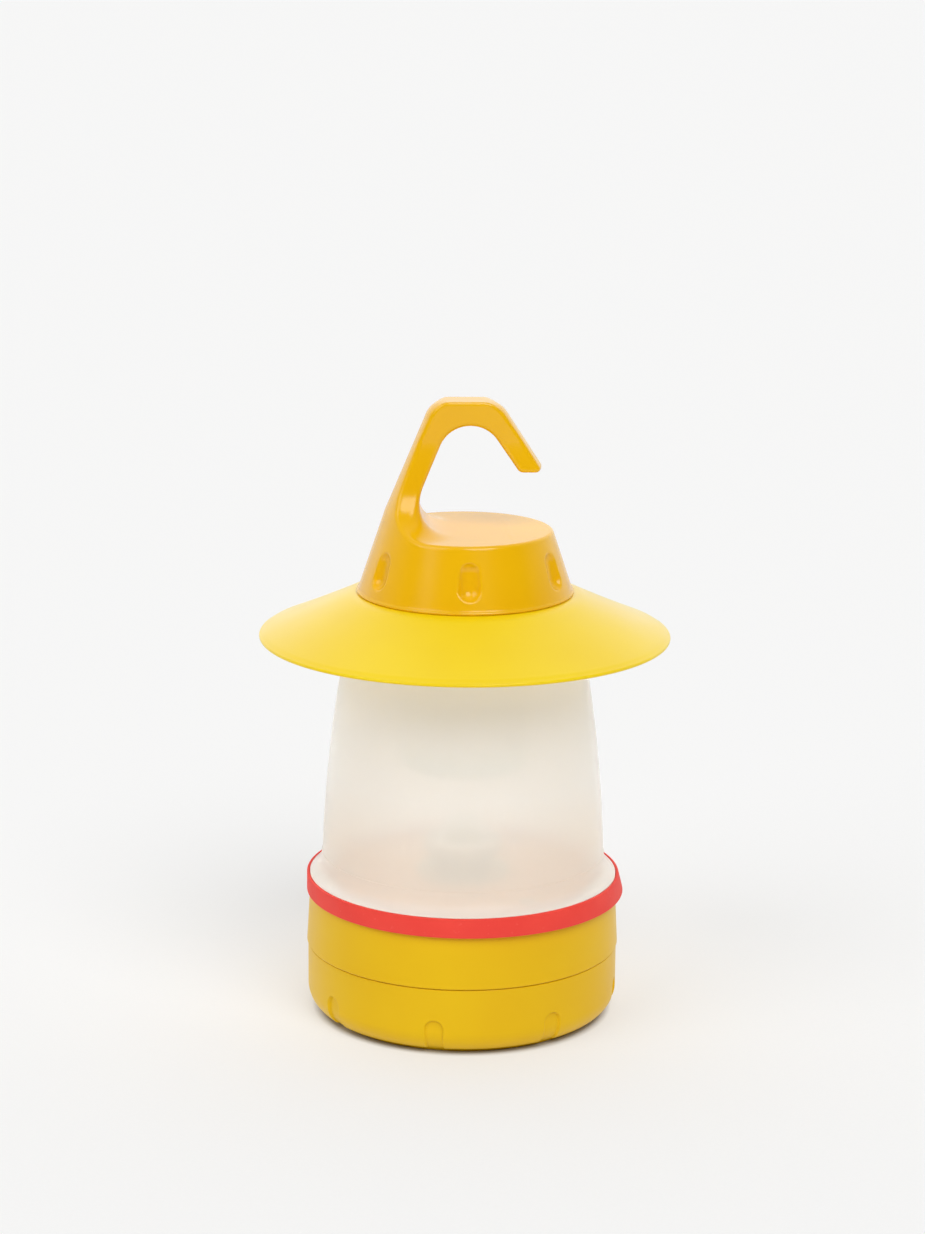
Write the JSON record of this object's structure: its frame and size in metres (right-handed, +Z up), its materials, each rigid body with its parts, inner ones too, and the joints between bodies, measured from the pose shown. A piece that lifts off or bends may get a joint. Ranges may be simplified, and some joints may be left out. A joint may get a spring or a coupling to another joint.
{
  "type": "camping lantern",
  "caption": "Small hanging camping lantern with a hooked screw-off cap, wide brim, frosted globe and a round base with a battery bay under a screw-off cover.",
  "frame": {"origin": "on the floor, under the middle of the standing base", "axes": "+Z up along the lantern's axis; the hook's arm is at -X and its tip points to +X; the power button faces +Y"},
  "size_m": [0.13, 0.13, 0.1984],
  "materials": {
    "yellow_plastic": "satin",
    "brim_plastic": "satin",
    "frosted_globe": "frosted",
    "white_plastic": "satin",
    "deck_plastic": "satin",
    "red_silicone": "matte",
    "grey_rubber": "matte",
    "zinc_steel": "satin",
    "nickel_steel": "bright",
    "aluminium": "satin",
    "led_board_white": "satin",
    "phosphor": "satin",
    "clear_lens": "gloss",
    "wire_red": "satin",
    "wire_black": "satin",
    "wire_white": "satin",
    "green_board": "satin",
    "chip_black": "matte",
    "tray_plastic": "matte",
    "cell_sleeve": "satin",
    "switch_black": "satin",
    "plunger_ivory": "satin",
    "button_red": "matte"
  },
  "bodies": {
    "lantern_body": {"globe": "frosted_globe", "top_reflector": "white_plastic", "globe_gasket": "grey_rubber", "silicone_band": "red_silicone", "base_shell": "yellow_plastic", "deck_reflector": "deck_plastic", "deck_screws": "zinc_steel", "heat_sink": "aluminium", "sink_screws": "zinc_steel", "led_board": "led_board_white", "led_chips": "phosphor", "led_lens": "clear_lens", "led_screws": "zinc_steel", "wires_red": "wire_red", "wires_black": "wire_black", "wires_switch": "wire_white", "driver_board": "green_board", "driver_chips": "chip_black", "board_screws": "zinc_steel", "battery_tray": "tray_plastic", "tray_screws": "zinc_steel", "cell_1": "cell_sleeve", "cell_2": "cell_sleeve", "cell_3": "cell_sleeve", "contact_plates": "nickel_steel", "contact_springs": "nickel_steel", "switch_board": "green_board", "switch_body": "switch_black"},
    "brim_body": {"brim": "brim_plastic"},
    "cap_body": {"hook_cap": "yellow_plastic"},
    "seal_body": {"cover_seal": "grey_rubber"},
    "cover_body": {"battery_cover": "yellow_plastic"},
    "button_body": {"power_button": "button_red", "switch_plunger": "plunger_ivory"}
  },
  "joints": [
    {"name": "cap_lift", "type": "slide", "parent": "lantern_body", "child": "brim_body", "axis": [0, 0, 1], "range_m": [0, 0.0142]},
    {"name": "cap_turn", "type": "hinge", "parent": "brim_body", "child": "cap_body", "pos_m": [0, 0, 0.14], "axis": [0, 0, 1], "range_deg": [0, 210]},
    {"name": "cover_drop", "type": "slide", "parent": "lantern_body", "child": "seal_body", "axis": [0, 0, -1], "range_m": [0, 0.0142]},
    {"name": "cover_turn", "type": "hinge", "parent": "seal_body", "child": "cover_body", "pos_m": [0, 0, 0.012], "axis": [0, 0, -1], "range_deg": [0, 210]},
    {"name": "button_press", "type": "slide", "parent": "lantern_body", "child": "button_body", "axis": [0, -1, 0], "range_m": [0, 0.0012], "stiffness_N_per_m": 1000, "springref_m": -0.0008}
  ],
  "couplings": [
    {"joint": "cap_lift", "follows": "cap_turn", "m_per_rad": 0.0038197},
    {"joint": "cover_drop", "follows": "cover_turn", "m_per_rad": 0.0038197}
  ]
}
